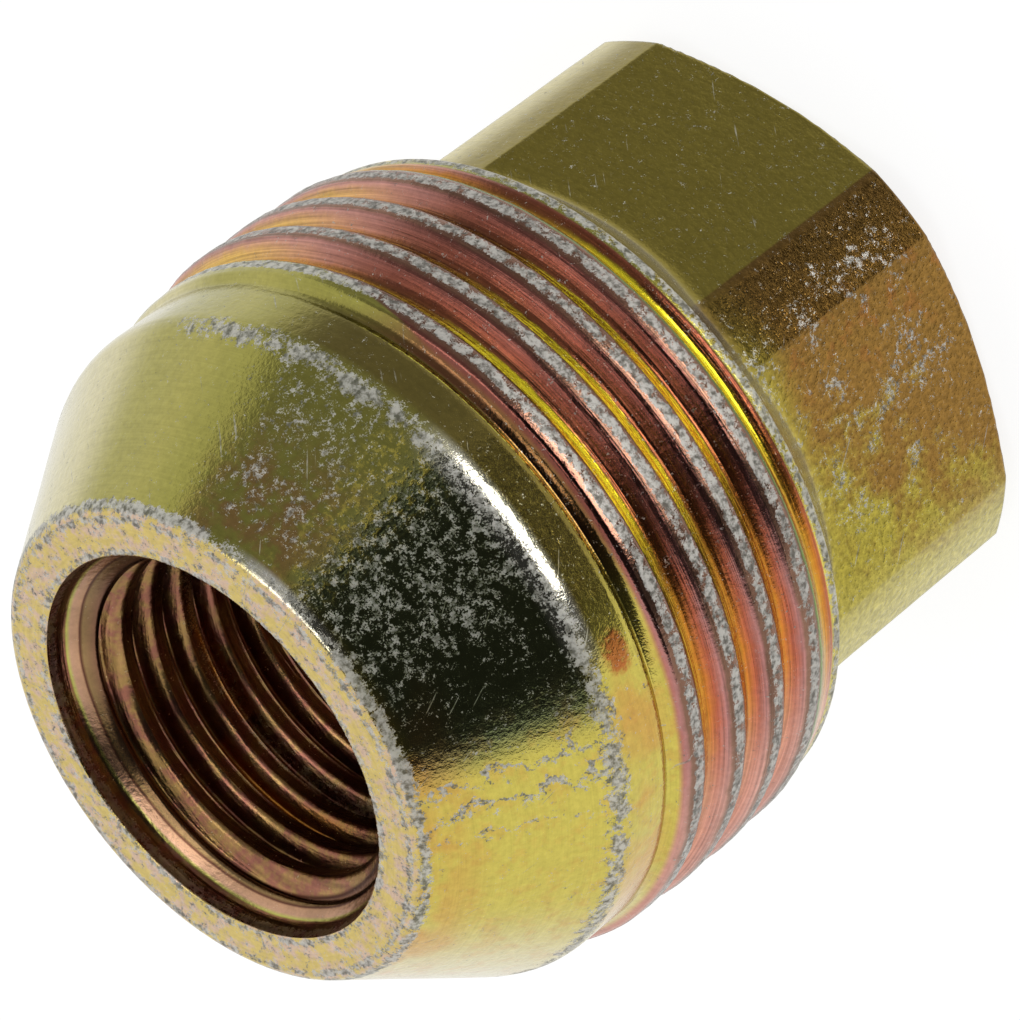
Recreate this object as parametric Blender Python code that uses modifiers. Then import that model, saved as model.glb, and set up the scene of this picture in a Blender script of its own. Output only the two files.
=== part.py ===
"""Lug nut: one piece of plated steel, standing on its hexagonal end with the conical seat up.

A conical seat, a rounded shoulder and a set of turned ridges make the round head. A neck cone
runs from the head into a hexagonal drive whose corners are turned down, and a bore for the
wheel stud goes right through. The fine thread inside the bore isn't modelled here: the bore
has the thread's minor diameter.
"""

import math

import bmesh
import bpy

MM = 0.001

# Overall length and the bore, in millimetres. A metric thread's minor diameter is its
# nominal diameter less this factor times its pitch.
LENGTH = 28.84
THREAD_DIAMETER = 14.0
THREAD_PITCH = 1.5
MINOR_DIAMETER_FACTOR = 1.0825
MOUTH_STANDOFF = 0.43
MOUTH_DEPTH = 0.75
MOUTH_DRAW = 0.15
COUNTERSINK_HALF_ANGLE = 45.0

# Conical seat and its shoulder
SEAT_FACE_DIAMETER = 18.12
SEAT_HALF_ANGLE = 31.9
SEAT_DEPTH = 6.09
RIM_ROUND = 0.45
SHOULDER_ROUND = 1.6

# Turned ridges round the head. The first and the last stand a little lower than the others.
RIDGE_DIAMETER = 26.82
OUTER_RIDGE_DROP = 0.085
RIDGE_PITCH = 2.045
RIDGE_COUNT = 4
RIDGE_DEPTH = 0.55
CREST_WIDTH = 0.68
SHOULDER_BAND = 2.3
RUN_IN = 0.55

# Last groove and the land behind it
LAST_GROOVE_WIDTH = 1.0
LAST_GROOVE_DEPTH = 0.3
LAND_DIAMETER = 26.0
LAND_WIDTH = 0.34
LAND_ROUND = 0.28
LAND_STEP = 0.3
LAND_STEP_DEPTH = 0.075

# Neck cone and hexagonal drive
NECK_HALF_ANGLE = 43.0
NECK_BURIED = 1.0
ACROSS_FLATS = 22.0
CORNER_STANDOUT = 1.02
END_FACE_INSET = 0.6
END_CHAMFER_ANGLE = 30.0

# How finely the turned shapes are drawn
STEPS = 72
VALLEY_POINTS = 6
ROUND_POINTS = 4
OVERSHOOT = 1.0


def tangent(degrees):
    return math.tan(math.radians(degrees))


def clear_scene():
    for obj in list(bpy.data.objects):
        bpy.data.objects.remove(obj, do_unlink=True)


def new_collection(name):
    collection = bpy.data.collections.new(name)
    bpy.context.scene.collection.children.link(collection)
    return collection


def rounded_corner(before, corner, after, radius, count):
    """Points of the arc that rounds a corner of an outline, from one straight side to the other."""
    into = ((before[0] - corner[0]), (before[1] - corner[1]))
    out = ((after[0] - corner[0]), (after[1] - corner[1]))
    into_length = math.hypot(*into)
    out_length = math.hypot(*out)
    into = (into[0] / into_length, into[1] / into_length)
    out = (out[0] / out_length, out[1] / out_length)
    half = math.acos(into[0] * out[0] + into[1] * out[1]) / 2
    reach = radius / math.tan(half)
    middle = (into[0] + out[0], into[1] + out[1])
    middle_length = math.hypot(*middle)
    away = radius / math.sin(half)
    centre = (corner[0] + middle[0] / middle_length * away, corner[1] + middle[1] / middle_length * away)
    start = (corner[0] + into[0] * reach - centre[0], corner[1] + into[1] * reach - centre[1])
    end = (corner[0] + out[0] * reach - centre[0], corner[1] + out[1] * reach - centre[1])
    sweep = math.pi - 2 * half
    if start[0] * end[1] - start[1] * end[0] < 0:
        sweep = -sweep
    points = []
    for step in range(count + 1):
        turn = sweep * step / count
        points.append(
            (
                centre[0] + start[0] * math.cos(turn) - start[1] * math.sin(turn),
                centre[1] + start[0] * math.sin(turn) + start[1] * math.cos(turn),
            )
        )
    return points


def valley(before, after, start, width, depth):
    """Points of one groove between two crests of the given radii: a smooth dip in the outline."""
    points = []
    for step in range(1, VALLEY_POINTS):
        share = step / VALLEY_POINTS
        rim = before + (after - before) * share
        points.append((rim - depth * math.sin(math.pi * share) ** 2, start + width * share))
    return points


def crest_radius(ridge):
    outermost = ridge in (0, RIDGE_COUNT - 1)
    return RIDGE_DIAMETER / 2 - (OUTER_RIDGE_DROP if outermost else 0.0)


def head_outline():
    """Outline of the round head as (radius, depth below the seat face), from its top to its buried end."""
    face_radius = SEAT_FACE_DIAMETER / 2
    land_radius = LAND_DIAMETER / 2
    shoulder_radius = face_radius + SEAT_DEPTH * tangent(SEAT_HALF_ANGLE)
    band_end = SEAT_DEPTH + SHOULDER_BAND

    top = (0.0, 0.0)
    rim = (face_radius, 0.0)
    shoulder = (shoulder_radius, SEAT_DEPTH)
    ridge_foot = (shoulder_radius, band_end)
    outline = [top]
    outline += rounded_corner(top, rim, shoulder, RIM_ROUND, ROUND_POINTS - 1)
    outline += rounded_corner(rim, shoulder, ridge_foot, SHOULDER_ROUND, ROUND_POINTS)
    outline.append(ridge_foot)

    depth = band_end + RUN_IN
    for ridge in range(RIDGE_COUNT):
        crest = crest_radius(ridge)
        outline += [(crest, depth), (crest, depth + CREST_WIDTH)]
        depth += CREST_WIDTH
        if ridge < RIDGE_COUNT - 1:
            gap = RIDGE_PITCH - CREST_WIDTH
            outline += valley(crest, crest_radius(ridge + 1), depth, gap, RIDGE_DEPTH)
            depth += gap
    outline += valley(crest, land_radius, depth, LAST_GROOVE_WIDTH, LAST_GROOVE_DEPTH)
    depth += LAST_GROOVE_WIDTH

    land_start = (land_radius, depth)
    land_end = (land_radius, depth + LAND_WIDTH + LAND_ROUND)
    neck_start = (land_radius - LAND_STEP, land_end[1] + LAND_STEP_DEPTH)
    outline.append(land_start)
    outline += rounded_corner(land_start, land_end, neck_start, LAND_ROUND, ROUND_POINTS - 1)
    outline.append(neck_start)
    neck_end_radius = ACROSS_FLATS / 2 - NECK_BURIED
    neck_end = neck_start[1] + (neck_start[0] - neck_end_radius) / tangent(NECK_HALF_ANGLE)
    outline += [(neck_end_radius, neck_end), (0.0, neck_end)]
    return outline, land_start[1]


def drive_envelope_outline(top):
    """Outline that turns the hexagon's corners down and chamfers its end, as (radius, height)."""
    corner_radius = ACROSS_FLATS / 2 + CORNER_STANDOUT
    end_radius = ACROSS_FLATS / 2 - END_FACE_INSET
    chamfer_height = (corner_radius - end_radius) * tangent(END_CHAMFER_ANGLE)
    return [(0.0, top), (corner_radius, top), (corner_radius, chamfer_height), (end_radius, 0.0), (0.0, 0.0)]


def bore_outline():
    """Outline of the bore, running past both ends, as (radius, height).

    Each end has a short, nearly straight mouth and then a countersink down to the thread.
    """
    minor_radius = (THREAD_DIAMETER - MINOR_DIAMETER_FACTOR * THREAD_PITCH) / 2
    mouth_radius = THREAD_DIAMETER / 2 + MOUTH_STANDOFF
    step_radius = mouth_radius - MOUTH_DRAW
    countersink_end = MOUTH_DEPTH + (step_radius - minor_radius) / tangent(COUNTERSINK_HALF_ANGLE)
    past_radius = mouth_radius + OVERSHOOT * MOUTH_DRAW / MOUTH_DEPTH
    return [
        (0.0, LENGTH + OVERSHOOT),
        (past_radius, LENGTH + OVERSHOOT),
        (step_radius, LENGTH - MOUTH_DEPTH),
        (minor_radius, LENGTH - countersink_end),
        (minor_radius, countersink_end),
        (step_radius, MOUTH_DEPTH),
        (past_radius, -OVERSHOOT),
        (0.0, -OVERSHOOT),
    ]


def turned(name, outline, collection):
    """A solid of revolution about Z from an outline of (radius, height) in millimetres, top to bottom."""
    mesh = bpy.data.meshes.new(name)
    points = [(radius * MM, 0.0, height * MM) for radius, height in outline]
    edges = [(index, index + 1) for index in range(len(points) - 1)]
    mesh.from_pydata(points, edges, [])
    obj = bpy.data.objects.new(name, mesh)
    collection.objects.link(obj)
    screw = obj.modifiers.new("turn", "SCREW")
    screw.axis = "Z"
    screw.angle = 2 * math.pi
    screw.steps = STEPS
    screw.render_steps = STEPS
    screw.use_merge_vertices = True
    screw.merge_threshold = 0.00001
    screw.use_smooth_shade = True
    return obj


def hexagon(name, bottom, top, collection):
    """A hexagonal bar with a flat facing +X."""
    mesh = bpy.data.meshes.new(name)
    corner_radius = ACROSS_FLATS / 2 / math.cos(math.radians(30)) * MM
    bar = bmesh.new()
    bmesh.ops.create_cone(
        bar,
        cap_ends=True,
        cap_tris=False,
        segments=6,
        radius1=corner_radius,
        radius2=corner_radius,
        depth=(top - bottom) * MM,
    )
    bmesh.ops.translate(bar, verts=bar.verts, vec=(0, 0, (top + bottom) / 2 * MM))
    bar.to_mesh(mesh)
    bar.free()
    obj = bpy.data.objects.new(name, mesh)
    collection.objects.link(obj)
    return obj


def combine(obj, operation, other, label):
    boolean = obj.modifiers.new(label, "BOOLEAN")
    boolean.operation = operation
    boolean.solver = "EXACT"
    boolean.object = other


def make_helper(obj):
    obj.hide_render = True
    obj.display_type = "WIRE"


def plated_steel():
    """Yellow zinc plating: a warm yellow-olive metal with a soft gloss."""
    material = bpy.data.materials.new("yellow_zinc_plating")
    material.use_nodes = True
    shader = material.node_tree.nodes["Principled BSDF"]
    shader.inputs["Base Color"].default_value = (0.60, 0.49, 0.20, 1.0)
    shader.inputs["Metallic"].default_value = 1.0
    shader.inputs["Roughness"].default_value = 0.3
    material.diffuse_color = (0.60, 0.49, 0.20, 1.0)
    return material


def build_lug_nut():
    parts = new_collection("lug_nut")
    cutters = new_collection("cutters")

    outline, land_depth = head_outline()
    nut = turned("lug_nut", [(radius, LENGTH - depth) for radius, depth in outline], parts)

    hexagon_top = LENGTH - land_depth
    drive = hexagon("hexagon_bar", -OVERSHOOT, hexagon_top, cutters)
    envelope = turned("drive_envelope", drive_envelope_outline(hexagon_top + OVERSHOOT), cutters)
    bore = turned("stud_bore", bore_outline(), cutters)
    for helper in (drive, envelope, bore):
        make_helper(helper)

    combine(drive, "INTERSECT", envelope, "turned_corners")
    combine(nut, "UNION", drive, "hexagonal_drive")
    combine(nut, "DIFFERENCE", bore, "stud_bore")
    nut.data.materials.append(plated_steel())


clear_scene()
build_lug_nut()
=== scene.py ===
"""Looks of the lug nut: yellow zinc plated steel, worn to grey on its crests and its shoulder.

The nut stands on its hexagonal end with the conical seat up. Lengths are in millimetres until
they reach a mesh. An angle is measured round the nut from +X, the middle of one wrench flat. A
bearing is measured the other way round, from a fixed line on the nut at FRONT_ANGLE, and a depth
is measured down from the seat face.
"""

import math

import bmesh
import bpy
from mathutils import Matrix, Vector, noise


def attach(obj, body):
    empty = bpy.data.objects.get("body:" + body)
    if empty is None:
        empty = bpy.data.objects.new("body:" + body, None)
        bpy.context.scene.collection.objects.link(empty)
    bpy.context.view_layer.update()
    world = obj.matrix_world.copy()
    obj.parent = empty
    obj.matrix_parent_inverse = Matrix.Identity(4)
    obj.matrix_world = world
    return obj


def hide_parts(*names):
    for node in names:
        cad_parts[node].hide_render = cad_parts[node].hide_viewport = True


MM = 0.001

# The line on the nut that bearings are measured from, as an angle from the middle of one flat; the camera
# looks along it, so light and shade painted by bearing face the camera
FRONT_ANGLE = 28.75

# Sizes shared with the solid
LENGTH = 28.84
THREAD_DIAMETER = 14.0
THREAD_PITCH = 1.5
MINOR_DIAMETER_FACTOR = 1.0825
MOUTH_RADIUS = 7.43
MOUTH_DEPTH = 0.75
MOUTH_DRAW = 0.15
COUNTERSINK_HALF_ANGLE = 45.0
FACE_RADIUS = 9.06
SEAT_HALF_ANGLE = 31.9
SEAT_DEPTH = 6.09
RIM_ROUND = 0.45
SHOULDER_ROUND = 1.6
CREST_RADII = (13.325, 13.41, 13.41, 13.325)
RIDGE_PITCH = 2.045
RIDGE_DEPTH = 0.55
CREST_WIDTH = 0.68
FIRST_CREST = 8.94
LAST_GROOVE_WIDTH = 1.0
LAST_GROOVE_DEPTH = 0.3
LAND_RADIUS = 13.0
LAND_WIDTH = 0.34
LAND_ROUND = 0.28
NECK_START = (12.70, 17.45)
NECK_HALF_ANGLE = 43.0
ACROSS_FLATS = 22.0
CORNER_RADIUS = 12.02
END_RADIUS = 10.4
END_CHAMFER_ANGLE = 30.0

# Sizes of the internal thread's outline, which only this file draws
THREAD_CREST_WIDTH = 0.55
THREAD_HEIGHT = 0.76
THREAD_FLANK_ANGLE = 60.0

# Where the turning tool runs in before the first ridge and where its last groove begins
RUN_IN_START = 8.1
RUN_IN_DEPTH = 0.17
LOW_CREST_BEARING = -110.0
LOW_CREST_DROP = 0.24
CREST_EDGE_DROP = 0.03
LAST_GROOVE_START = FIRST_CREST + 3 * RIDGE_PITCH + CREST_WIDTH
LAND_START = LAST_GROOVE_START + LAST_GROOVE_WIDTH
BAND_RADIUS = FACE_RADIUS + SEAT_DEPTH * math.tan(math.radians(SEAT_HALF_ANGLE))

# The outside and the bore stop this much short of the mouth's edge, and a narrow bridge joins them
EDGE_GAP = 0.02
BORE_TRIM = 0.08

# How finely the visible mesh is drawn
OUTER_STEPS = 288
BORE_STEPS = 120
ROWS_PER_PITCH = 12

# Its rows lie closer together below the neck, down to this depth, and over the end chamfer
CLOSE_ROWS_END = 20.1
CHAMFER_ROWS = 1.05

# Columns of the mesh are drawn in towards the edges of the flats, over this reach in degrees
LAND_HALF_ANGLE = 30 - math.degrees(math.acos(ACROSS_FLATS / 2 / CORNER_RADIUS))
GATHER_REACH = 3.5
GATHER_POWER = 1.8

# The photograph's view of the nut
CAMERA_AZIMUTH = FRONT_ANGLE
CAMERA_ELEVATION = 35.413
CAMERA_ROLL = -127.744
CAMERA_LENS = 220.28
CAMERA_DISTANCE = 214.64
CAMERA_AIM = (0.430, 0.430, 13.659)


def tangent(degrees):
    return math.tan(math.radians(degrees))


def smooth_step(low, high, value):
    share = min(1.0, max(0.0, (value - low) / (high - low)))
    return share * share * (3 - 2 * share)


def soft_greater(one, other, softness):
    return (one + other + math.hypot(one - other, softness)) / 2


def spread(start, end, count):
    """Numbers evenly spread from start towards end, without end itself."""
    return [start + (end - start) * step / count for step in range(count)]


def arc(centre, radius, start, end, count):
    """Points (radius, depth) of an arc, its angles in degrees from straight out towards the seat face."""
    points = []
    for step in range(count + 1):
        turn = math.radians(start + (end - start) * step / count)
        points.append((centre[0] + radius * math.cos(turn), centre[1] - radius * math.sin(turn)))
    return points


def face_and_cone_rows():
    """Rows from the mouth's edge over the flat face, the rounded rim and the cone to the shoulder's end."""
    steep = 90 - SEAT_HALF_ANGLE
    reach = RIM_ROUND * tangent(steep / 2)
    rim_centre = (FACE_RADIUS - reach, RIM_ROUND)
    rows = [(MOUTH_RADIUS - EDGE_GAP, EDGE_GAP), (MOUTH_RADIUS + 0.06, 0.0)]
    rows += [(radius, 0.0) for radius in spread(MOUTH_RADIUS + 0.25, rim_centre[0], 4)]
    rows += arc(rim_centre, RIM_ROUND, 90, SEAT_HALF_ANGLE, 7)
    cone_start = rows[-1]
    tail = SHOULDER_ROUND * tangent(SEAT_HALF_ANGLE / 2)
    cone_end = (
        BAND_RADIUS - tail * math.sin(math.radians(SEAT_HALF_ANGLE)),
        SEAT_DEPTH - tail * math.cos(math.radians(SEAT_HALF_ANGLE)),
    )
    count = 14
    for step in range(1, count):
        share = step / count
        rows.append(
            (
                cone_start[0] + (cone_end[0] - cone_start[0]) * share,
                cone_start[1] + (cone_end[1] - cone_start[1]) * share,
            )
        )
    rows += arc((BAND_RADIUS - SHOULDER_ROUND, SEAT_DEPTH + tail), SHOULDER_ROUND, SEAT_HALF_ANGLE, 0, 9)
    return rows


def plain_dip(share):
    return math.sin(math.pi * share) ** 2


def ridge_dip(share):
    """A steep near wall, a floor that still falls a little and a longer far wall."""
    if share < 0.18:
        return 0.78 * math.sin(math.pi / 2 * share / 0.18) ** 2
    if share < 0.56:
        return 0.78 + 0.22 * math.sin(math.pi / 2 * (share - 0.18) / 0.38)
    return math.cos(math.pi / 2 * (share - 0.56) / 0.44) ** 2


def valley_rows(before, after, start, width, depth, count, dip):
    """Rows of one groove between two crests of the given radii, with the dip's shape as a function."""
    rows = []
    for step in range(1, count):
        share = step / count
        rim = before + (after - before) * share
        rows.append((rim - depth * dip(share), start + width * share))
    return rows


def crest_rows(radius, start):
    """Rows over one slightly domed crest with eased edges."""
    edge = radius - CREST_EDGE_DROP
    return [
        (edge, start),
        (radius, start + 0.12 * CREST_WIDTH),
        (radius + 0.01, start + 0.5 * CREST_WIDTH),
        (radius, start + 0.88 * CREST_WIDTH),
        (edge, start + CREST_WIDTH),
    ]


def ridge_rows():
    """Rows from the band behind the shoulder over the ridges to the neck."""
    rows = [(BAND_RADIUS, depth) for depth in spread(7.05, RUN_IN_START, 4)]
    rows += [(BAND_RADIUS, depth) for depth in spread(RUN_IN_START, FIRST_CREST, 10)]
    depth = FIRST_CREST
    for radius, following in zip(CREST_RADII, CREST_RADII[1:]):
        rows += crest_rows(radius, depth)
        before, after = radius - CREST_EDGE_DROP, following - CREST_EDGE_DROP
        gap = RIDGE_PITCH - CREST_WIDTH
        rows += valley_rows(before, after, depth + CREST_WIDTH, gap, RIDGE_DEPTH - 0.05, 16, ridge_dip)
        depth += RIDGE_PITCH
    rows += crest_rows(CREST_RADII[-1], depth)
    last, width, dip = CREST_RADII[-1], LAST_GROOVE_WIDTH, LAST_GROOVE_DEPTH
    rows += valley_rows(last, LAND_RADIUS, LAST_GROOVE_START, width, dip, 10, plain_dip)
    rows += [(LAND_RADIUS, LAND_START), (LAND_RADIUS, LAND_START + LAND_WIDTH / 2)]
    rows += arc((LAND_RADIUS - LAND_ROUND, LAND_START + LAND_WIDTH), LAND_ROUND, -5, -62, 5)
    return rows


def drive_rows():
    """Rows from the neck down the hexagon to its end face and on to the far mouth's edge."""
    rows = [NECK_START]
    chamfer_start = LENGTH - CHAMFER_ROWS
    rows += [(CORNER_RADIUS, depth) for depth in spread(NECK_START[1] + 0.09, CLOSE_ROWS_END, 26)]
    rows += [(CORNER_RADIUS, depth) for depth in spread(CLOSE_ROWS_END, chamfer_start, 14)]
    rows += [(CORNER_RADIUS, depth) for depth in spread(chamfer_start, LENGTH, 14)]
    rows += [(END_RADIUS, LENGTH), (END_RADIUS - 0.08, LENGTH)]
    rows += [(radius, LENGTH) for radius in spread(9.4, MOUTH_RADIUS + 0.2, 2)]
    rows += [(MOUTH_RADIUS + 0.06, LENGTH), (MOUTH_RADIUS - EDGE_GAP, LENGTH - EDGE_GAP)]
    return rows


def drive_radius(angle, depth):
    """Radius of the hexagonal drive with its turned corners, end chamfer and neck."""
    off_middle = (angle + 30) % 60 - 30
    flat = ACROSS_FLATS / 2 / math.cos(math.radians(off_middle))
    radius = min(flat, CORNER_RADIUS)
    radius = min(radius, END_RADIUS + (LENGTH - depth) / tangent(END_CHAMFER_ANGLE))
    neck = NECK_START[0] - (depth - NECK_START[1]) * tangent(NECK_HALF_ANGLE)
    return soft_greater(radius, neck, 0.16)


def bearing_of(angle):
    return (FRONT_ANGLE - angle + 180) % 360 - 180


def run_in_change(bearing, depth):
    """How far the surface before and on the first ridge stands from the plain band or crest."""
    low = max(0.0, math.cos(math.radians(bearing - LOW_CREST_BEARING))) ** 2
    crest = CREST_RADII[0] - LOW_CREST_DROP * low
    if depth >= FIRST_CREST:
        fade = 1 - smooth_step(FIRST_CREST + CREST_WIDTH, FIRST_CREST + RIDGE_PITCH, depth)
        return (crest - CREST_RADII[0]) * fade
    groove = RUN_IN_DEPTH * smooth_step(-70, 10, bearing) * (1 - smooth_step(66, 90, bearing))
    ramp = smooth_step(RUN_IN_START + 0.46, FIRST_CREST - 0.06, depth)
    share = min(1.0, (depth - RUN_IN_START) / 0.5)
    return (crest - CREST_EDGE_DROP - BAND_RADIUS) * ramp - groove * plain_dip(share)


def last_groove_change(bearing, depth):
    """How far the last groove is filled in again, where it fades out on one side."""
    share = (depth - LAST_GROOVE_START) / LAST_GROOVE_WIDTH
    fade = smooth_step(5, 70, bearing) * (1 - smooth_step(115, 178, bearing))
    return LAST_GROOVE_DEPTH * fade * plain_dip(share)


def hand_of_the_tool(point, radius, depth):
    """Small unevenness of the real surface: burred crests, a slightly wavy cone and dented edges."""
    on_ridges = smooth_step(8.2, 9.2, depth) * (1 - smooth_step(16.9, 17.4, depth))
    coarse = noise.noise(point * 0.55)
    fine = noise.noise(point * 2.6 + Vector((7, 3, 1)))
    return 0.012 * coarse + (0.024 * fine * on_ridges if radius > LAND_RADIUS else 0.004 * fine)


def gathered(angle):
    """The angle of a column of the mesh, drawn in towards an edge between a flat and a corner land."""
    corner = 60 * math.floor(angle / 60) + 30
    off_corner = angle - corner
    edge = math.copysign(LAND_HALF_ANGLE, off_corner)
    off_edge = off_corner - edge
    if abs(off_edge) >= GATHER_REACH:
        return angle
    pulled = GATHER_REACH * (abs(off_edge) / GATHER_REACH) ** GATHER_POWER
    return corner + edge + math.copysign(pulled, off_edge)


def spun_line(shape, rows, steps, rise=0.0):
    """Spins a line of (radius, height) points right round the axis, rising by so much over the turn."""
    line = [shape.verts.new((radius * MM, 0.0, height * MM)) for radius, height in rows]
    edges = [shape.edges.new(pair) for pair in zip(line, line[1:])]
    bmesh.ops.spin(
        shape,
        geom=line + edges,
        cent=(0, 0, 0),
        axis=(0, 0, 1),
        dvec=(0, 0, rise * MM / steps),
        angle=2 * math.pi,
        steps=steps,
        use_merge=rise == 0.0,
    )


def outer_radius(radius, angle, depth):
    """Radius of the outside at one place, from the plain turned outline's radius there."""
    bearing = bearing_of(angle)
    if NECK_START[1] - 0.001 < depth < LENGTH - 0.001:
        radius = drive_radius(angle, depth)
    elif RUN_IN_START <= depth < FIRST_CREST + RIDGE_PITCH:
        radius += run_in_change(bearing, depth)
    elif LAST_GROOVE_START < depth < LAND_START:
        radius += last_groove_change(bearing, depth)
    if 0.5 < depth < LENGTH - 0.5:
        turn = math.radians(angle)
        point = Vector((radius * math.cos(turn), radius * math.sin(turn), depth))
        radius += hand_of_the_tool(point, radius, depth)
    return radius


def outer_shell():
    """The whole outside of the nut, from the mouth's edge round to the far mouth's edge."""
    rows = face_and_cone_rows() + ridge_rows() + drive_rows()
    shape = bmesh.new()
    spun_line(shape, [(radius, LENGTH - depth) for radius, depth in rows], OUTER_STEPS)
    for vert in shape.verts:
        radius = math.hypot(vert.co.x, vert.co.y) / MM
        angle = gathered(math.degrees(math.atan2(vert.co.y, vert.co.x)))
        radius = outer_radius(radius, angle, LENGTH - vert.co.z / MM)
        turn = math.radians(angle)
        vert.co.x = radius * math.cos(turn) * MM
        vert.co.y = radius * math.sin(turn) * MM
    return shape


def thread_outline(phase):
    """Radius of the internal thread's wall, for the share of a pitch since the middle of a crest."""
    minor = (THREAD_DIAMETER - MINOR_DIAMETER_FACTOR * THREAD_PITCH) / 2
    off_crest = abs((phase + 0.5) % 1 - 0.5) * THREAD_PITCH
    flank = (off_crest - THREAD_CREST_WIDTH / 2) * tangent(THREAD_FLANK_ANGLE)
    return minor + min(THREAD_HEIGHT, max(0.0, flank))


def mouth_radius(into):
    """Radius of the opened end of the bore: a short, nearly straight mouth and then a countersink."""
    if into < MOUTH_DEPTH:
        return MOUTH_RADIUS - MOUTH_DRAW * into / MOUTH_DEPTH
    return MOUTH_RADIUS - MOUTH_DRAW - (into - MOUTH_DEPTH) * tangent(COUNTERSINK_HALF_ANGLE)


def threaded_bore():
    """The bore's wall: a right-hand thread opened by a countersink at each end.

    The line runs well past both ends, so that the rising turn still fills the bore when it is cut.
    """
    shape = bmesh.new()
    spacing = THREAD_PITCH / ROWS_PER_PITCH
    low = -3 * THREAD_PITCH
    count = round((LENGTH + 5 * THREAD_PITCH) / spacing)
    heights = [low + spacing * row for row in range(count)]
    line = [(thread_outline(height / THREAD_PITCH % 1), height) for height in heights]
    spun_line(shape, line, BORE_STEPS, THREAD_PITCH)
    bmesh.ops.remove_doubles(shape, verts=shape.verts, dist=0.000002)
    for vert in shape.verts:
        radius = math.hypot(vert.co.x, vert.co.y)
        height = vert.co.z / MM
        opened = mouth_radius(min(height, LENGTH - height)) * MM
        if opened > radius:
            vert.co.x *= opened / radius
            vert.co.y *= opened / radius
    for height, facing in ((LENGTH - BORE_TRIM, 1), (BORE_TRIM, -1)):
        bmesh.ops.bisect_plane(
            shape,
            geom=shape.verts[:] + shape.edges[:] + shape.faces[:],
            dist=0.0000001,
            plane_co=(0, 0, height * MM),
            plane_no=(0, 0, facing),
            clear_outer=True,
        )
    return shape


def open_loops(shape, high):
    """Open edges of a shape, at its top or at its bottom."""
    middle = LENGTH / 2 * MM
    return [edge for edge in shape.edges if edge.is_boundary and (edge.verts[0].co.z > middle) == high]


def nut_shape():
    """The outside and the threaded bore joined into one closed surface."""
    shape = outer_shell()
    bore = threaded_bore()
    wall = bpy.data.meshes.new("bore_wall")
    bore.to_mesh(wall)
    bore.free()
    shape.from_mesh(wall)
    bpy.data.meshes.remove(wall)
    for high in (True, False):
        bmesh.ops.bridge_loops(shape, edges=open_loops(shape, high))
    bmesh.ops.recalc_face_normals(shape, faces=shape.faces[:])
    return shape


def finished_piece(shape, name, material):
    """An object at the origin with the shape as its smoothly shaded mesh."""
    mesh = bpy.data.meshes.new(name)
    shape.to_mesh(mesh)
    shape.free()
    mesh.shade_smooth()
    piece = bpy.data.objects.new(name, mesh)
    bpy.context.scene.collection.objects.link(piece)
    mesh.materials.append(material)
    return piece


def new_node(tree, kind, inputs=None, **settings):
    """A node with its settings, and with each input either set to a value or linked from a socket."""
    node = tree.nodes.new(kind)
    for name, value in settings.items():
        setattr(node, name, value)
    for key, value in (inputs or {}).items():
        if isinstance(value, bpy.types.NodeSocket):
            tree.links.new(value, node.inputs[key])
        else:
            node.inputs[key].default_value = value
    return node


def maths(tree, operation, *values):
    return new_node(tree, "ShaderNodeMath", dict(enumerate(values)), operation=operation).outputs[0]


def ramp_up(tree, value, low, high):
    """0 below low, 1 above high and smooth between them. With low above high it falls instead."""
    first, last = min(low, high), max(low, high)
    ends = (0.0, 1.0) if low < high else (1.0, 0.0)
    inputs = {0: value, 1: first, 2: last, 3: ends[0], 4: ends[1]}
    return new_node(tree, "ShaderNodeMapRange", inputs, interpolation_type="SMOOTHSTEP").outputs[0]


def window(tree, value, low, high, soft):
    """1 between low and high, falling to 0 over twice the softness at each side."""
    rising = ramp_up(tree, value, low - soft, low + soft)
    falling = ramp_up(tree, value, high + soft, high - soft)
    return maths(tree, "MULTIPLY", rising, falling)


def product(tree, *masks):
    result = masks[0]
    for mask in masks[1:]:
        result = maths(tree, "MULTIPLY", result, mask)
    return result


def scaled(tree, value, factor, offset):
    return maths(tree, "ADD", maths(tree, "MULTIPLY", value, factor), offset)


def sway(tree, cloudiness, amount):
    """A noise from 0 to 1 made to swing evenly about 0, by so much."""
    return maths(tree, "MULTIPLY", maths(tree, "SUBTRACT", cloudiness, 0.5), amount)


def all_but(tree, mask, strength):
    """1, lowered by so much where the mask is."""
    return maths(tree, "SUBTRACT", 1.0, maths(tree, "MULTIPLY", mask, strength))


def blend(tree, mask, below, above):
    """One colour below and another above, by a mask."""
    inputs = {0: mask, 6: below, 7: above}
    return new_node(tree, "ShaderNodeMix", inputs, data_type="RGBA").outputs[2]


def stained(tree, colour, mask, strength, stain):
    """A colour with a stain laid over it where the mask is, as strongly as given."""
    return blend(tree, maths(tree, "MULTIPLY", mask, strength), colour, stain)


def mottle(tree, place, scale, detail=4.0, rough=0.6, offset=0.0):
    """Cloudy noise from 0 to 1 at so many features a millimetre."""
    inputs = {"Scale": scale, "Detail": detail, "Roughness": rough}
    shift = (offset, offset * 0.7, -offset)
    shifted = new_node(tree, "ShaderNodeVectorMath", {0: place, 1: shift}).outputs[0]
    return new_node(tree, "ShaderNodeTexNoise", {"Vector": shifted, **inputs}).outputs[0]


def colour_bands(tree, value, stops):
    """Colours along a value from 0 to 1, as (place, colour) pairs."""
    node = new_node(tree, "ShaderNodeValToRGB", {0: value})
    bands = node.color_ramp
    bands.interpolation = "LINEAR"
    while len(bands.elements) < len(stops):
        bands.elements.new(0.5)
    for element, (place, _) in zip(bands.elements, stops):
        element.position = place
    for element, (_, colour) in zip(bands.elements, stops):
        element.color = (*colour, 1.0)
    return node.outputs[0]


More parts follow.
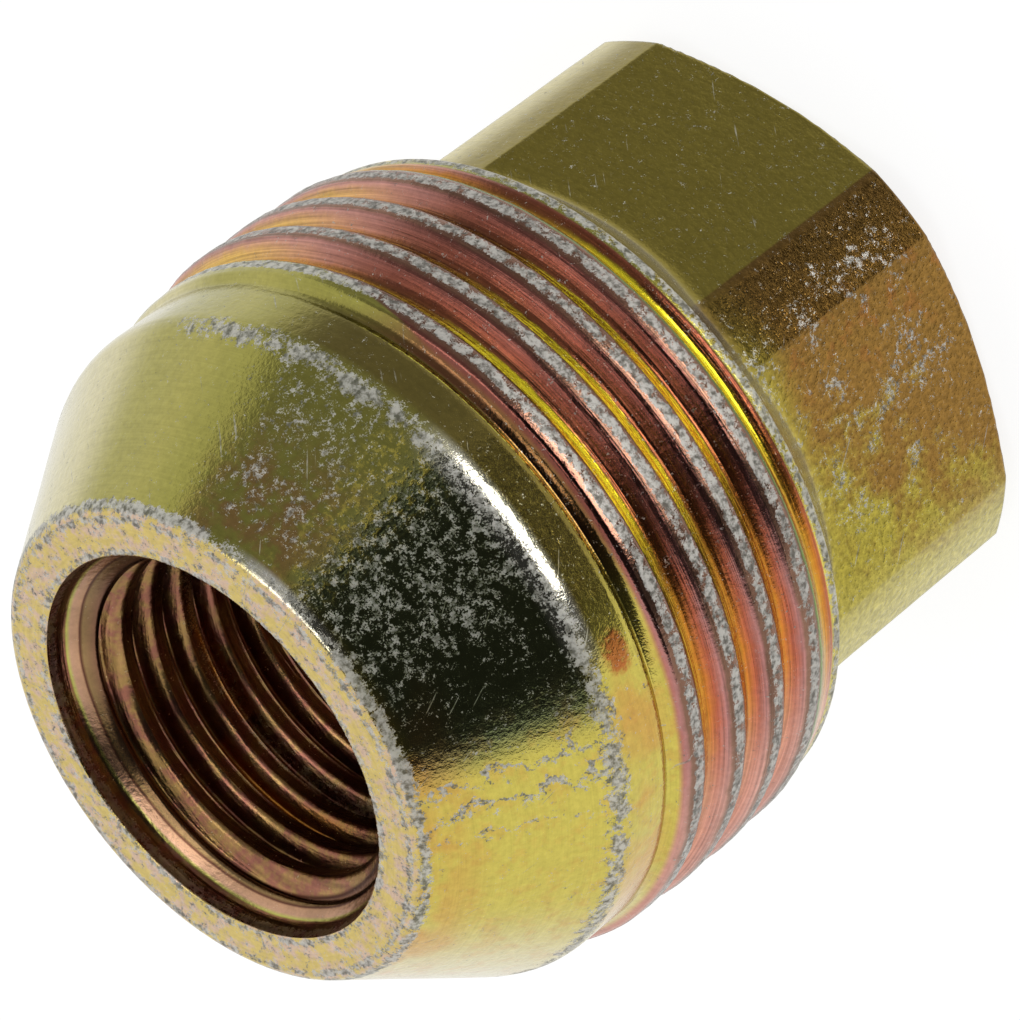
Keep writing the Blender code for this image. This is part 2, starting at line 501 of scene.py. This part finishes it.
def new_group(name, inputs, outputs):
    """An empty node group with its named input and output sockets."""
    tree = bpy.data.node_groups.new(name, "ShaderNodeTree")
    for title, kind in inputs:
        tree.interface.new_socket(title, in_out="INPUT", socket_type=kind)
    for title, kind in outputs:
        tree.interface.new_socket(title, in_out="OUTPUT", socket_type=kind)
    return tree, tree.nodes.new("NodeGroupInput"), tree.nodes.new("NodeGroupOutput")


FLOAT = "NodeSocketFloat"
VECTOR = "NodeSocketVector"


def bearing_socket(tree, parts):
    """The bearing of a point or a direction, from its separated X and Y."""
    angle = maths(tree, "DEGREES", maths(tree, "ARCTAN2", parts.outputs[1], parts.outputs[0]))
    return maths(tree, "WRAP", maths(tree, "SUBTRACT", FRONT_ANGLE, angle), -180.0, 180.0)


def place_group():
    """From a point on the nut in metres: its place in millimetres, radius, depth and bearing."""
    outputs = [("Place", VECTOR), ("Radius", FLOAT), ("Depth", FLOAT), ("Bearing", FLOAT)]
    tree, entry, exit_node = new_group("place_on_the_nut", [("Point", VECTOR)], outputs)
    inputs = {0: entry.outputs[0], 1: (1 / MM, 1 / MM, 1 / MM)}
    place = new_node(tree, "ShaderNodeVectorMath", inputs, operation="MULTIPLY")
    parts = new_node(tree, "ShaderNodeSeparateXYZ", {0: place.outputs[0]})
    squares = maths(tree, "POWER", parts.outputs[0], 2.0)
    squares = maths(tree, "ADD", squares, maths(tree, "POWER", parts.outputs[1], 2.0))
    tree.links.new(place.outputs[0], exit_node.inputs["Place"])
    tree.links.new(maths(tree, "SQRT", squares), exit_node.inputs["Radius"])
    tree.links.new(maths(tree, "SUBTRACT", LENGTH, parts.outputs[2]), exit_node.inputs["Depth"])
    tree.links.new(bearing_socket(tree, parts), exit_node.inputs["Bearing"])
    return tree


def scuff_group():
    """Ragged grey smudges and specks, denser where Amount is higher."""
    inputs = [("Place", VECTOR), ("Scale", FLOAT), ("Amount", FLOAT)]
    tree, entry, exit_node = new_group("grey_scuffs", inputs, [("Mask", FLOAT)])
    coarse = mottle(tree, entry.outputs[0], entry.outputs[1], 3.0, 0.75)
    finer_scale = maths(tree, "MULTIPLY", entry.outputs[1], 4.5)
    fine = mottle(tree, entry.outputs[0], finer_scale, 2.0, 0.7, 11.0)
    both = maths(tree, "ADD", maths(tree, "MULTIPLY", coarse, 0.6), maths(tree, "MULTIPLY", fine, 0.4))
    raised = maths(tree, "ADD", both, maths(tree, "MULTIPLY", entry.outputs[2], 0.28))
    tree.links.new(ramp_up(tree, raised, 0.62, 0.70), exit_node.inputs[0])
    return tree


# Colours of the chromate film and of worn zinc, in linear light. The film's thickness changes over
# the nut, and its colour with it, so each stretch has its own; others stand for painted reflections,
# highlights and shade, as marked.
YELLOW = (0.58, 0.49, 0.10, 1.0)
# Painted reflections on the seat: mid-grey and paler parts of the studio, and white surroundings at the sides
MID_REFLECTION_OLIVE = (0.30, 0.28, 0.065, 1.0)
PALE_REFLECTION_OLIVE = (0.36, 0.33, 0.10, 1.0)
PALE_REFLECTION_STRAW = (0.66, 0.60, 0.36, 1.0)
FACE_STRAW = (0.60, 0.46, 0.15, 1.0)
FACE_PINK = (0.60, 0.43, 0.32, 1.0)
# Painted dark reflection over the front of the cone
DARK_REFLECTION_GREEN = (0.22, 0.25, 0.11, 1.0)
BROWN_OLIVE = (0.32, 0.20, 0.07, 1.0)
# Painted dark reflection on the front of the band behind the shoulder
DARK_BAND_REFLECTION = (0.17, 0.125, 0.035, 1.0)
VIOLET_PINK = (0.50, 0.26, 0.22, 1.0)
GOLDEN = (0.62, 0.40, 0.08, 1.0)
# Painted highlight: yellow beads before the first crest
HIGHLIGHT_BEAD_YELLOW = (0.85, 0.78, 0.12, 1.0)
# Painted highlight: a bright streak along the grooves
HIGHLIGHT_STREAK_YELLOW = (0.80, 0.66, 0.03, 1.0)
# Worn bare zinc, whitened as a painted highlight on the front of the shoulder and rim
BARE_EDGE_AND_HIGHLIGHT = (0.80, 0.78, 0.68, 1.0)
ORANGE = (0.58, 0.26, 0.07, 1.0)
RUST = (0.42, 0.10, 0.03, 1.0)
# Painted reflections on two flats, olive and yellow, and the brown film patches on the yellow one
FLAT_OLIVE_REFLECTION = (0.24, 0.19, 0.035, 1.0)
FLAT_BROWN = (0.26, 0.12, 0.03, 1.0)
FLAT_YELLOW_REFLECTION = (0.40, 0.33, 0.05, 1.0)
BORE_PINK = (0.27, 0.11, 0.075, 1.0)
BORE_BRASS = (0.31, 0.19, 0.07, 1.0)
# Pale straw painted as the glare of white surroundings on the flats at the sides
SIDE_GLARE_STRAW = (0.62, 0.55, 0.28, 1.0)
FLAT_GLARE_STRAW = (0.50, 0.44, 0.14, 1.0)
# Painted dark reflection on the corner land in front
LAND_DARK_REFLECTION = (0.13, 0.075, 0.02, 1.0)
# Painted dark reflection in the grooves' far walls and the run-in, in front
DARK_REFLECTION_MAROON = (0.15, 0.045, 0.03, 1.0)
PALE_PINK = (0.64, 0.36, 0.28, 1.0)
BORE_ORANGE = (0.60, 0.27, 0.05, 1.0)
DARK_ZINC = (0.09, 0.09, 0.075, 1.0)
LIGHT_ZINC = (0.50, 0.49, 0.45, 1.0)
# Painted dark reflection on bare zinc in front of the cone
DARK_REFLECTION_ZINC = (0.07, 0.075, 0.035, 1.0)

# Colours across one groove, from the end of a crest to the start of the next
VALLEY_STOPS = (
    (0.00, (0.13, 0.12, 0.05)),
    (0.08, (0.16, 0.24, 0.035)),
    (0.18, (0.30, 0.26, 0.02)),
    (0.40, (0.58, 0.31, 0.03)),
    (0.60, (0.55, 0.19, 0.03)),
    (0.76, (0.48, 0.13, 0.07)),
    (0.90, (0.44, 0.20, 0.18)),
    (1.00, (0.22, 0.12, 0.08)),
)

# Colours down the countersink, over this depth from its outer edge: film colours in bands with painted
# highlights and near-black painted shade
COUNTERSINK_REACH = 1.2
COUNTERSINK_LIGHT_AND_SHADE_STOPS = (
    (0.00, (0.16, 0.06, 0.03)),
    (0.05, (0.42, 0.40, 0.10)),
    (0.12, (0.46, 0.27, 0.17)),
    (0.27, (0.42, 0.24, 0.14)),
    (0.31, (0.09, 0.03, 0.02)),
    (0.37, (0.25, 0.16, 0.07)),
    (0.62, (0.20, 0.10, 0.06)),
    (0.67, (0.06, 0.02, 0.01)),
)

# Stretches of bearing, in degrees, and one of depth, with a finish or a painted reflection of their own
LINED_DEPTHS = (9.4, 17.2)
# Bearings over which a dark reflection is painted on the front of the cone
PAINTED_DARK_BEARINGS = (-15, 32)
SPECKLED_SIDE = (-42, -16)
LEFT_SIDE = (-130, -42)
FAR_LEFT_SIDE = (-130, -64)
RIGHT_SIDE = (55, 120)
FRONT_SIDE = (-34, 16)

# How closely the grey scuffs lie
SCUFFS_A_MILLIMETRE = 3.8


def scuffs(tree, group, place, scale, amount):
    inputs = {"Place": place, "Scale": scale, "Amount": amount}
    return new_node(tree, "ShaderNodeGroup", inputs, node_tree=group).outputs[0]


def ridge_share(tree, depth, wander):
    """Where a depth lies between the end of one crest (0) and the start of the next (1)."""
    past = maths(tree, "SUBTRACT", maths(tree, "ADD", depth, wander), FIRST_CREST + CREST_WIDTH)
    turns = maths(tree, "FRACT", maths(tree, "DIVIDE", past, RIDGE_PITCH))
    return maths(tree, "MULTIPLY", turns, RIDGE_PITCH / (RIDGE_PITCH - CREST_WIDTH))


def cone_colour(tree, depth, bearing, clouds, fog, speckle):
    """Yellow on the seat with painted reflections: olive, pale round the sides, black-green in front; and the
    end face.
    """
    # Painted reflections: olive and paler olive for mid-grey parts of the studio, pale straw for white
    # surroundings seen at the sides
    colour = blend(tree, window(tree, bearing, -60, -12, 8), YELLOW, MID_REFLECTION_OLIVE)
    colour = blend(tree, window(tree, bearing, -134, -54, 10), colour, PALE_REFLECTION_OLIVE)
    pale = maths(tree, "MAXIMUM", window(tree, bearing, -112, -76, 8), window(tree, bearing, 79, 112, 13))
    colour = stained(tree, colour, pale, 0.8, PALE_REFLECTION_STRAW)

    # Painted dark reflection: black-green over the front of the cone
    painted_dark_area = product(tree, window(tree, bearing, *PAINTED_DARK_BEARINGS, 4), window(tree, depth, 0.5, 5.8, 0.3))
    colour = blend(tree, painted_dark_area, colour, DARK_REFLECTION_GREEN)
    # Yellow flecks break up the edge of the painted dark reflection
    flecks = product(tree, window(tree, bearing, -22, -9, 4), window(tree, depth, 0.6, 5.8, 0.4))
    flecks = product(tree, flecks, ramp_up(tree, speckle, 0.50, 0.60))
    colour = blend(tree, flecks, colour, YELLOW)
    browned = product(tree, window(tree, bearing, *SPECKLED_SIDE, 7), ramp_up(tree, depth, 5.0, 2.0))
    colour = blend(tree, product(tree, browned, ramp_up(tree, fog, 0.35, 0.6)), colour, BROWN_OLIVE)

    ends = maths(tree, "MAXIMUM", ramp_up(tree, depth, 2.6, 0.4), window(tree, depth, 6.2, 8.4, 0.8))
    blush = product(tree, ends, ramp_up(tree, clouds, 0.38, 0.62), window(tree, bearing, 14, 110, 12))
    colour = stained(tree, colour, blush, 0.55, ORANGE)
    # Painted dark reflection on the front of the band behind the shoulder
    painted_dark_band = product(tree, window(tree, bearing, -46, 16, 10), window(tree, depth, 6.5, 8.6, 0.3))
    colour = stained(tree, colour, painted_dark_band, 0.85, DARK_BAND_REFLECTION)
    rust = product(tree, window(tree, bearing, 22.5, 28.5, 3.0), window(tree, depth, 6.7, 7.7, 0.45))
    rust = ramp_up(tree, product(tree, rust, fog, speckle), 0.05, 0.18)
    colour = stained(tree, colour, rust, 0.85, RUST)

    front = window(tree, bearing, *FRONT_SIDE, 8)
    # Painted dark reflection over the run-in in front
    run_in = product(tree, front, window(tree, depth, 8.36, 8.85, 0.05))
    colour = stained(tree, colour, run_in, 0.8, DARK_REFLECTION_MAROON)
    # Painted highlight: a beaded yellow line before the first crest in front
    painted_highlight_beads = product(tree, front, window(tree, depth, 8.10, 8.30, 0.05), ramp_up(tree, speckle, 0.40, 0.50))
    colour = blend(tree, painted_highlight_beads, colour, HIGHLIGHT_BEAD_YELLOW)
    warm = product(tree, ramp_up(tree, fog, 0.45, 0.7), ramp_up(tree, bearing, 20, 34))
    colour = stained(tree, colour, warm, 0.3, ORANGE)

    # Worn bare zinc at the shoulder and rim, and also a painted highlight: pale where the bright strips shine
    # on them in front
    shoulder = product(tree, window(tree, bearing, -15, 22, 5), window(tree, depth, 5.6, 6.55, 0.2))
    rim = product(tree, window(tree, bearing, -26, 2, 6), window(tree, depth, 0.04, 0.45, 0.1))
    colour = stained(tree, colour, maths(tree, "MAXIMUM", shoulder, rim), 0.85, BARE_EDGE_AND_HIGHLIGHT)
    face = blend(tree, ramp_up(tree, fog, 0.42, 0.62), FACE_STRAW, FACE_PINK)
    return blend(tree, ramp_up(tree, depth, 0.2, 0.04), colour, face)


def ridge_colour(tree, depth, bearing, fog):
    """Bands along each groove: green, yellow, orange, red and pink, changing on the way round, with painted
    dark reflections and a painted highlight streak in front.
    """
    share = ridge_share(tree, depth, sway(tree, fog, 0.22))
    colour = colour_bands(tree, share, VALLEY_STOPS)
    violet = product(tree, window(tree, bearing, *LEFT_SIDE, 12), window(tree, share, 0.58, 0.94, 0.1))
    colour = stained(tree, colour, violet, 0.75, VIOLET_PINK)
    golden = product(tree, window(tree, bearing, *FAR_LEFT_SIDE, 14), window(tree, share, 0.22, 0.84, 0.12))
    colour = stained(tree, colour, golden, 0.85, GOLDEN)
    pale = product(tree, window(tree, bearing, *RIGHT_SIDE, 11), window(tree, share, 0.2, 1.0, 0.1))
    colour = stained(tree, colour, pale, 0.6, PALE_PINK)
    # Painted dark reflection on the far walls of the grooves in front
    painted_dark_maroon = product(tree, window(tree, bearing, -52, 16, 12), window(tree, share, 0.42, 1.0, 0.1))
    colour = stained(tree, colour, painted_dark_maroon, 0.85, DARK_REFLECTION_MAROON)
    # Painted highlight: a bright yellow streak along the grooves in front
    painted_highlight_streak = product(tree, window(tree, bearing, -26, 15, 8), window(tree, share, 0.16, 0.50, 0.05))
    return blend(tree, painted_highlight_streak, colour, HIGHLIGHT_STREAK_YELLOW)


def hexagon_colour(tree, bearing, depth, clouds, fog, speckle):
    """Flats in painted reflections: olive on one, yellow with ragged brown film on the next, straw glare on
    the others.
    """
    ragged = scaled(tree, scaled(tree, speckle, 0.5, maths(tree, "MULTIPLY", fog, 0.5)), 70.0, bearing)
    ragged = maths(tree, "SUBTRACT", ragged, maths(tree, "MULTIPLY", depth, 4.0))
    ragged = maths(tree, "ADD", ragged, sway(tree, clouds, 80.0))
    brown = product(tree, ramp_up(tree, ragged, 6, -34), ramp_up(tree, depth, 18.3, 20.5))
    right = stained(tree, FLAT_YELLOW_REFLECTION, brown, 0.85, FLAT_BROWN)
    red = product(tree, window(tree, bearing, 2, 18, 8), ramp_up(tree, fog, 0.5, 0.66), brown)
    right = stained(tree, right, red, 0.22, RUST)
    # Painted dark reflection: the corner land darkened to brown
    right = stained(tree, right, ramp_up(tree, bearing, 12, -6), 0.85, LAND_DARK_REFLECTION)
    # Painted reflections: olive on one flat, yellow on the next
    colour = blend(tree, ramp_up(tree, bearing, -8.9, -8.4), FLAT_OLIVE_REFLECTION, right)
    # Painted glare: pale straw on the flats round the sides
    behind = maths(tree, "MAXIMUM", ramp_up(tree, bearing, 46, 62), ramp_up(tree, bearing, -120, -140))
    colour = blend(tree, behind, colour, FLAT_GLARE_STRAW)
    return blend(tree, window(tree, bearing, -130, -63, 5), colour, SIDE_GLARE_STRAW)


def bore_colour(tree, depth, bearing, fog, marks):
    """Brown-pink to brassy inside the bore, with painted highlight and shade bands on the countersink, and
    one orange flank.
    """
    colour = blend(tree, ramp_up(tree, fog, 0.38, 0.62), BORE_PINK, BORE_BRASS)
    into = maths(tree, "SUBTRACT", maths(tree, "ADD", depth, sway(tree, marks, 0.10)), MOUTH_DEPTH)
    # Painted highlight and shade in bands down the countersink
    light_and_shade_stripes = colour_bands(tree, maths(tree, "DIVIDE", into, COUNTERSINK_REACH), COUNTERSINK_LIGHT_AND_SHADE_STOPS)
    striped = window(tree, depth, MOUTH_DEPTH, MOUTH_DEPTH + 0.85, 0.04)
    colour = blend(tree, striped, colour, light_and_shade_stripes)
    lead = maths(tree, "ADD", depth, maths(tree, "MULTIPLY", bearing, THREAD_PITCH / 360))
    behind = ramp_up(tree, maths(tree, "ABSOLUTE", bearing), 118, 150)
    flank = product(tree, behind, window(tree, lead, 5.0, 5.5, 0.15))
    return blend(tree, flank, colour, BORE_ORANGE)


def film_and_painted_light_colour(tree, depth, bearing, radius, clouds, fog, speckle, marks):
    """The chromate film over the whole nut with its painted reflections, highlights and shade, and masks of
    the bore's wall and of the drive.
    """
    colour = cone_colour(tree, depth, bearing, clouds, fog, speckle)
    ridges = ridge_colour(tree, depth, bearing, fog)
    later = maths(tree, "MULTIPLY", window(tree, bearing, -140, -40, 15), -0.9)
    on_ridges = ramp_up(tree, maths(tree, "ADD", depth, later), FIRST_CREST - 0.3, FIRST_CREST - 0.18)
    on_ridges = product(tree, on_ridges, ramp_up(tree, depth, LAND_START + 0.1, LAND_START))
    colour = blend(tree, on_ridges, colour, ridges)
    on_drive = ramp_up(tree, depth, LAND_START + 0.15, LAND_START + 0.4)
    colour = blend(tree, on_drive, colour, hexagon_colour(tree, bearing, depth, clouds, fog, speckle))
    within = ramp_up(tree, radius, MOUTH_RADIUS + 0.02, MOUTH_RADIUS - 0.03)
    inside = product(tree, within, window(tree, depth, 0.05, LENGTH, 0.03))
    colour = blend(tree, inside, colour, bore_colour(tree, depth, bearing, fog, marks))
    return colour, inside, on_drive


def turning_marks(tree, radius, depth, bearing):
    """Fine lines round the nut, as a lathe leaves them."""
    along = maths(tree, "MULTIPLY", maths(tree, "ADD", depth, radius), 9.0)
    round_it = maths(tree, "MULTIPLY", bearing, 0.035)
    place = new_node(tree, "ShaderNodeCombineXYZ", {0: along, 1: round_it}).outputs[0]
    return mottle(tree, place, 1.0, 2.0, 0.6)


def straight_scratches(tree, depth, bearing):
    """A few thin straight scratches that run aslant over the nut."""
    round_it = maths(tree, "MULTIPLY", bearing, 0.2)
    across = maths(tree, "MULTIPLY", maths(tree, "ADD", round_it, depth), 5.0)
    along = maths(tree, "MULTIPLY", maths(tree, "SUBTRACT", round_it, depth), 0.3)
    place = new_node(tree, "ShaderNodeCombineXYZ", {0: across, 1: along}).outputs[0]
    return ramp_up(tree, mottle(tree, place, 1.0, 1.0, 0.5), 0.72, 0.78)


def worn_places(tree, group, place, radius, depth, bearing, clouds, fog):
    """Where the film is worn through to grey zinc: mostly the crests, the shoulder and the rims."""
    crest = window(tree, ridge_share(tree, depth, 0.0), 1.09, 1.43, 0.09)
    crest = product(tree, crest, window(tree, depth, FIRST_CREST, LAST_GROOVE_START + 0.05, 0.1))
    # Fewer scuffs where the painted shoulder highlight lies, so that it shows clean
    dull = all_but(tree, window(tree, bearing, -16, 18, 5), 0.3)
    dull = product(tree, dull, all_but(tree, window(tree, bearing, -100, -66, 8), 1.0))
    shoulder = product(tree, window(tree, depth, 5.6, 6.35, 0.5), dull)
    # Fewer scuffs where the rim's painted highlight lies
    dull = all_but(tree, window(tree, bearing, -24, -2, 4), 0.6)
    rim = product(tree, window(tree, depth, 0.06, 0.42, 0.2), dull)
    on_face = window(tree, depth, -1.0, 0.02, 0.02)
    inner_edge = ramp_up(tree, radius, MOUTH_RADIUS + 0.52, MOUTH_RADIUS + 0.12)
    outer_edge = ramp_up(tree, radius, FACE_RADIUS - 0.61, FACE_RADIUS - 0.31)
    edges = maths(tree, "MAXIMUM", inner_edge, outer_edge)
    land = window(tree, depth, LAND_START + 0.1, LAND_START + 0.6, 0.15)

    painted_dark_area = product(tree, window(tree, bearing, -16, 33, 4), window(tree, depth, 0.4, 6.2, 0.3))
    thinning = all_but(tree, ramp_up(tree, bearing, 4, 26), 0.6)
    scratched = product(tree, window(tree, bearing, -44, -15, 7), window(tree, depth, 1.0, 6.0, 0.6))
    lane = maths(tree, "ADD", bearing, maths(tree, "MULTIPLY", fog, 14.0))
    lanes = maths(tree, "MAXIMUM", window(tree, lane, 42, 44, 1.2), window(tree, lane, 48, 50, 1.2))
    lanes = maths(tree, "MAXIMUM", lanes, window(tree, lane, 55, 56, 1.2))
    lanes = product(tree, lanes, window(tree, depth, 0.4, 6.0, 0.3))
    on_drive = ramp_up(tree, depth, LAND_START + 0.6, LAND_START + 1.0)
    rubbed = product(tree, on_drive, window(tree, bearing, -6, 44, 8), ramp_up(tree, clouds, 0.4, 0.6))

    amounts = (
        (crest, 0.90),
        (shoulder, 0.92),
        (rim, 1.1),
        (product(tree, edges, on_face), 0.72),
        (on_face, 0.34),
        (land, 0.85),
        (product(tree, painted_dark_area, thinning), 0.44),
        (scratched, 0.38),
        (lanes, 0.80),
        (on_drive, 0.13),
        (rubbed, 0.42),
    )
    amount = 0.10
    for mask, weight in amounts:
        amount = maths(tree, "MAXIMUM", amount, maths(tree, "MULTIPLY", mask, weight))
    uneven = scaled(tree, fog, 2.6, -0.35)
    return scuffs(tree, group, place, SCUFFS_A_MILLIMETRE, maths(tree, "MULTIPLY", amount, uneven))


def zinc_colour(tree, depth, bearing, speckle):
    """Bare zinc, from dark to light grey, with a painted dark reflection on the front of the cone."""
    zinc = blend(tree, ramp_up(tree, speckle, 0.34, 0.62), DARK_ZINC, LIGHT_ZINC)
    # Painted dark reflection over the front of the cone
    painted_dark_area = product(tree, window(tree, bearing, *PAINTED_DARK_BEARINGS, 4), window(tree, depth, 0.6, 5.6, 0.3))
    return stained(tree, zinc, painted_dark_area, 0.22, DARK_REFLECTION_ZINC)


def plated_steel():
    """Chromated zinc plating, coloured by place on the nut with painted reflections, highlights and shade,
    and worn through to grey zinc.
    """
    material = bpy.data.materials.new("yellow_zinc_plating")
    material.use_nodes = True
    tree = material.node_tree
    shader = tree.nodes["Principled BSDF"]
    point = new_node(tree, "ShaderNodeTexCoord").outputs["Object"]
    found = new_node(tree, "ShaderNodeGroup", {"Point": point}, node_tree=place_group())
    place, radius, depth, bearing = found.outputs

    clouds = mottle(tree, place, 0.45, 2.0, 0.6)
    fog = mottle(tree, place, 1.3, 3.0, 0.65, 5.0)
    speckle = mottle(tree, place, 4.0, 3.0, 0.7, 3.0)
    marks = turning_marks(tree, radius, depth, bearing)
    film_and_painted_light, inside, on_drive = film_and_painted_light_colour(tree, depth, bearing, radius, clouds, fog, speckle, marks)
    lined = maths(tree, "MAXIMUM", window(tree, depth, *LINED_DEPTHS, 0.2), inside)
    rough_flat = product(tree, on_drive, ramp_up(tree, bearing, -9, -7), ramp_up(tree, bearing, 150, 110))

    shade = sway(tree, speckle, scaled(tree, rough_flat, 1.1, 0.5))
    shade = maths(tree, "ADD", shade, sway(tree, marks, scaled(tree, lined, 1.1, 0.3)))
    shade = maths(tree, "MAXIMUM", maths(tree, "ADD", shade, 1.0), 0.1)
    film_and_painted_light = new_node(tree, "ShaderNodeVectorMath", {0: film_and_painted_light, "Scale": shade}, operation="SCALE").outputs[0]
    worn = worn_places(tree, scuff_group(), place, radius, depth, bearing, clouds, fog)
    thin = product(tree, straight_scratches(tree, depth, bearing), maths(tree, "SUBTRACT", 0.6, lined))
    worn = product(tree, maths(tree, "MAXIMUM", worn, thin), all_but(tree, inside, 0.8))
    colour = stained(tree, film_and_painted_light, worn, 0.9, zinc_colour(tree, depth, bearing, speckle))
    tree.links.new(colour, shader.inputs["Base Color"])
    tree.links.new(all_but(tree, worn, 0.45), shader.inputs["Metallic"])

    roughness = scaled(tree, speckle, 0.12, 0.07)
    roughness = maths(tree, "ADD", roughness, maths(tree, "MULTIPLY", worn, 0.32))
    roughness = maths(tree, "ADD", roughness, maths(tree, "MULTIPLY", lined, 0.09))
    tree.links.new(roughness, shader.inputs["Roughness"])

    lines = maths(tree, "MULTIPLY", marks, maths(tree, "ADD", lined, 0.1))
    pebbles = maths(tree, "MULTIPLY", speckle, scaled(tree, rough_flat, 0.5, 0.8))
    height = maths(tree, "ADD", pebbles, lines)
    bump = new_node(tree, "ShaderNodeBump", {"Strength": 0.5, "Distance": 0.00004, "Height": height})
    tree.links.new(bump.outputs[0], shader.inputs["Normal"])
    return material


def photograph_camera():
    """The camera at the photograph's angle: it looks down on the nut and is rolled far over."""
    azimuth = math.radians(CAMERA_AZIMUTH)
    elevation = math.radians(CAMERA_ELEVATION)
    level = math.cos(elevation)
    back = Vector((level * math.cos(azimuth), level * math.sin(azimuth), math.sin(elevation)))
    right = Vector((0, 0, 1)).cross(back).normalized()
    up = back.cross(right)
    upright = Matrix((right, up, back)).transposed()
    rolled = upright @ Matrix.Rotation(math.radians(CAMERA_ROLL), 3, "Z")
    data = bpy.data.cameras.new("photograph_camera")
    data.sensor_width = 36
    data.lens = CAMERA_LENS
    data.clip_start = 0.01
    data.clip_end = 20
    camera = bpy.data.objects.new("photograph_camera", data)
    place = (Vector(CAMERA_AIM) + back * CAMERA_DISTANCE) * MM
    camera.matrix_world = Matrix.Translation(place) @ rolled.to_4x4()
    bpy.context.scene.collection.objects.link(camera)
    bpy.context.scene.camera = camera


def pale_floor():
    """A white floor, lit evenly enough that the nut hardly darkens it. Reflections don't show it."""
    mesh = bpy.data.meshes.new("floor")
    sheet = bmesh.new()
    bmesh.ops.create_grid(sheet, x_segments=1, y_segments=1, size=1.5)
    sheet.to_mesh(mesh)
    sheet.free()
    floor = bpy.data.objects.new("floor", mesh)
    bpy.context.scene.collection.objects.link(floor)
    floor.visible_glossy = False
    material = bpy.data.materials.new("pale_floor")
    material.use_nodes = True
    shader = material.node_tree.nodes["Principled BSDF"]
    shader.inputs["Base Color"].default_value = (0.2, 0.2, 0.2, 1.0)
    shader.inputs["Roughness"].default_value = 0.9
    shader.inputs["Specular IOR Level"].default_value = 0.0
    shader.inputs["Emission Color"].default_value = (1.0, 1.0, 1.0, 1.0)
    shader.inputs["Emission Strength"].default_value = 0.86
    mesh.materials.append(material)


# Panels of the studio as the plating reflects them: from and to bearing, from and to height above
# the horizon, softness of the edges, all in degrees, and brightness
STUDIO_PANELS = (
    (-84, -27, -8, 38, 4, 0.36),
    (-27, 60, -6, 74, 2.5, 0.03),
    (-76, -30, 50, 62, 3, 3.0),
    (-95, -24, -46, -8, 7, 0.42),
    (-24, 50, -42, -6, 5, 0.10),
    (-18, 22, -25, -8, 2.5, 7.0),
    (-22, 6, 48, 60, 2.5, 3.0),
)


def studio():
    """A white tent whose reflections are darker in front, with bright strips low and high there."""
    world = bpy.data.worlds.new("studio")
    bpy.context.scene.world = world
    world.use_nodes = True
    # The tent shines evenly from all round, so no rays are aimed at it, which saves much time
    world.cycles.sampling_method = "NONE"
    tree = world.node_tree
    background = tree.nodes["Background"]
    towards = new_node(tree, "ShaderNodeTexCoord").outputs["Generated"]
    parts = new_node(tree, "ShaderNodeSeparateXYZ", {0: towards})
    bearing = bearing_socket(tree, parts)
    height = maths(tree, "DEGREES", maths(tree, "ARCSINE", parts.outputs[2]))
    light = 1.0
    for left, right, low, high, soft, brightness in STUDIO_PANELS:
        panel = product(tree, window(tree, bearing, left, right, soft), window(tree, height, low, high, soft))
        light = new_node(tree, "ShaderNodeMix", {0: panel, 2: light, 3: brightness}).outputs[0]
    glossy = new_node(tree, "ShaderNodeLightPath").outputs["Is Glossy Ray"]
    strength = new_node(tree, "ShaderNodeMix", {0: glossy, 2: 1.0, 3: light}).outputs[0]
    background.inputs["Color"].default_value = (1, 1, 1, 1)
    tree.links.new(strength, background.inputs["Strength"])
    bpy.context.scene.view_settings.view_transform = "Standard"


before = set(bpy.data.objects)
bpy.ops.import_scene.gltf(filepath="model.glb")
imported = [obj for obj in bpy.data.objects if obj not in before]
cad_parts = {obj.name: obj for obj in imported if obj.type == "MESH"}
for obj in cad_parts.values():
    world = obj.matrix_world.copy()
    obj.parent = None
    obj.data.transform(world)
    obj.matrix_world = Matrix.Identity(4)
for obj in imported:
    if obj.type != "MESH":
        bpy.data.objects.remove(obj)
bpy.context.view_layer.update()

nut = finished_piece(nut_shape(), "plated_nut", plated_steel())
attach(nut, "root")
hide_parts("lug_nut")

photograph_camera()
pale_floor()
studio()
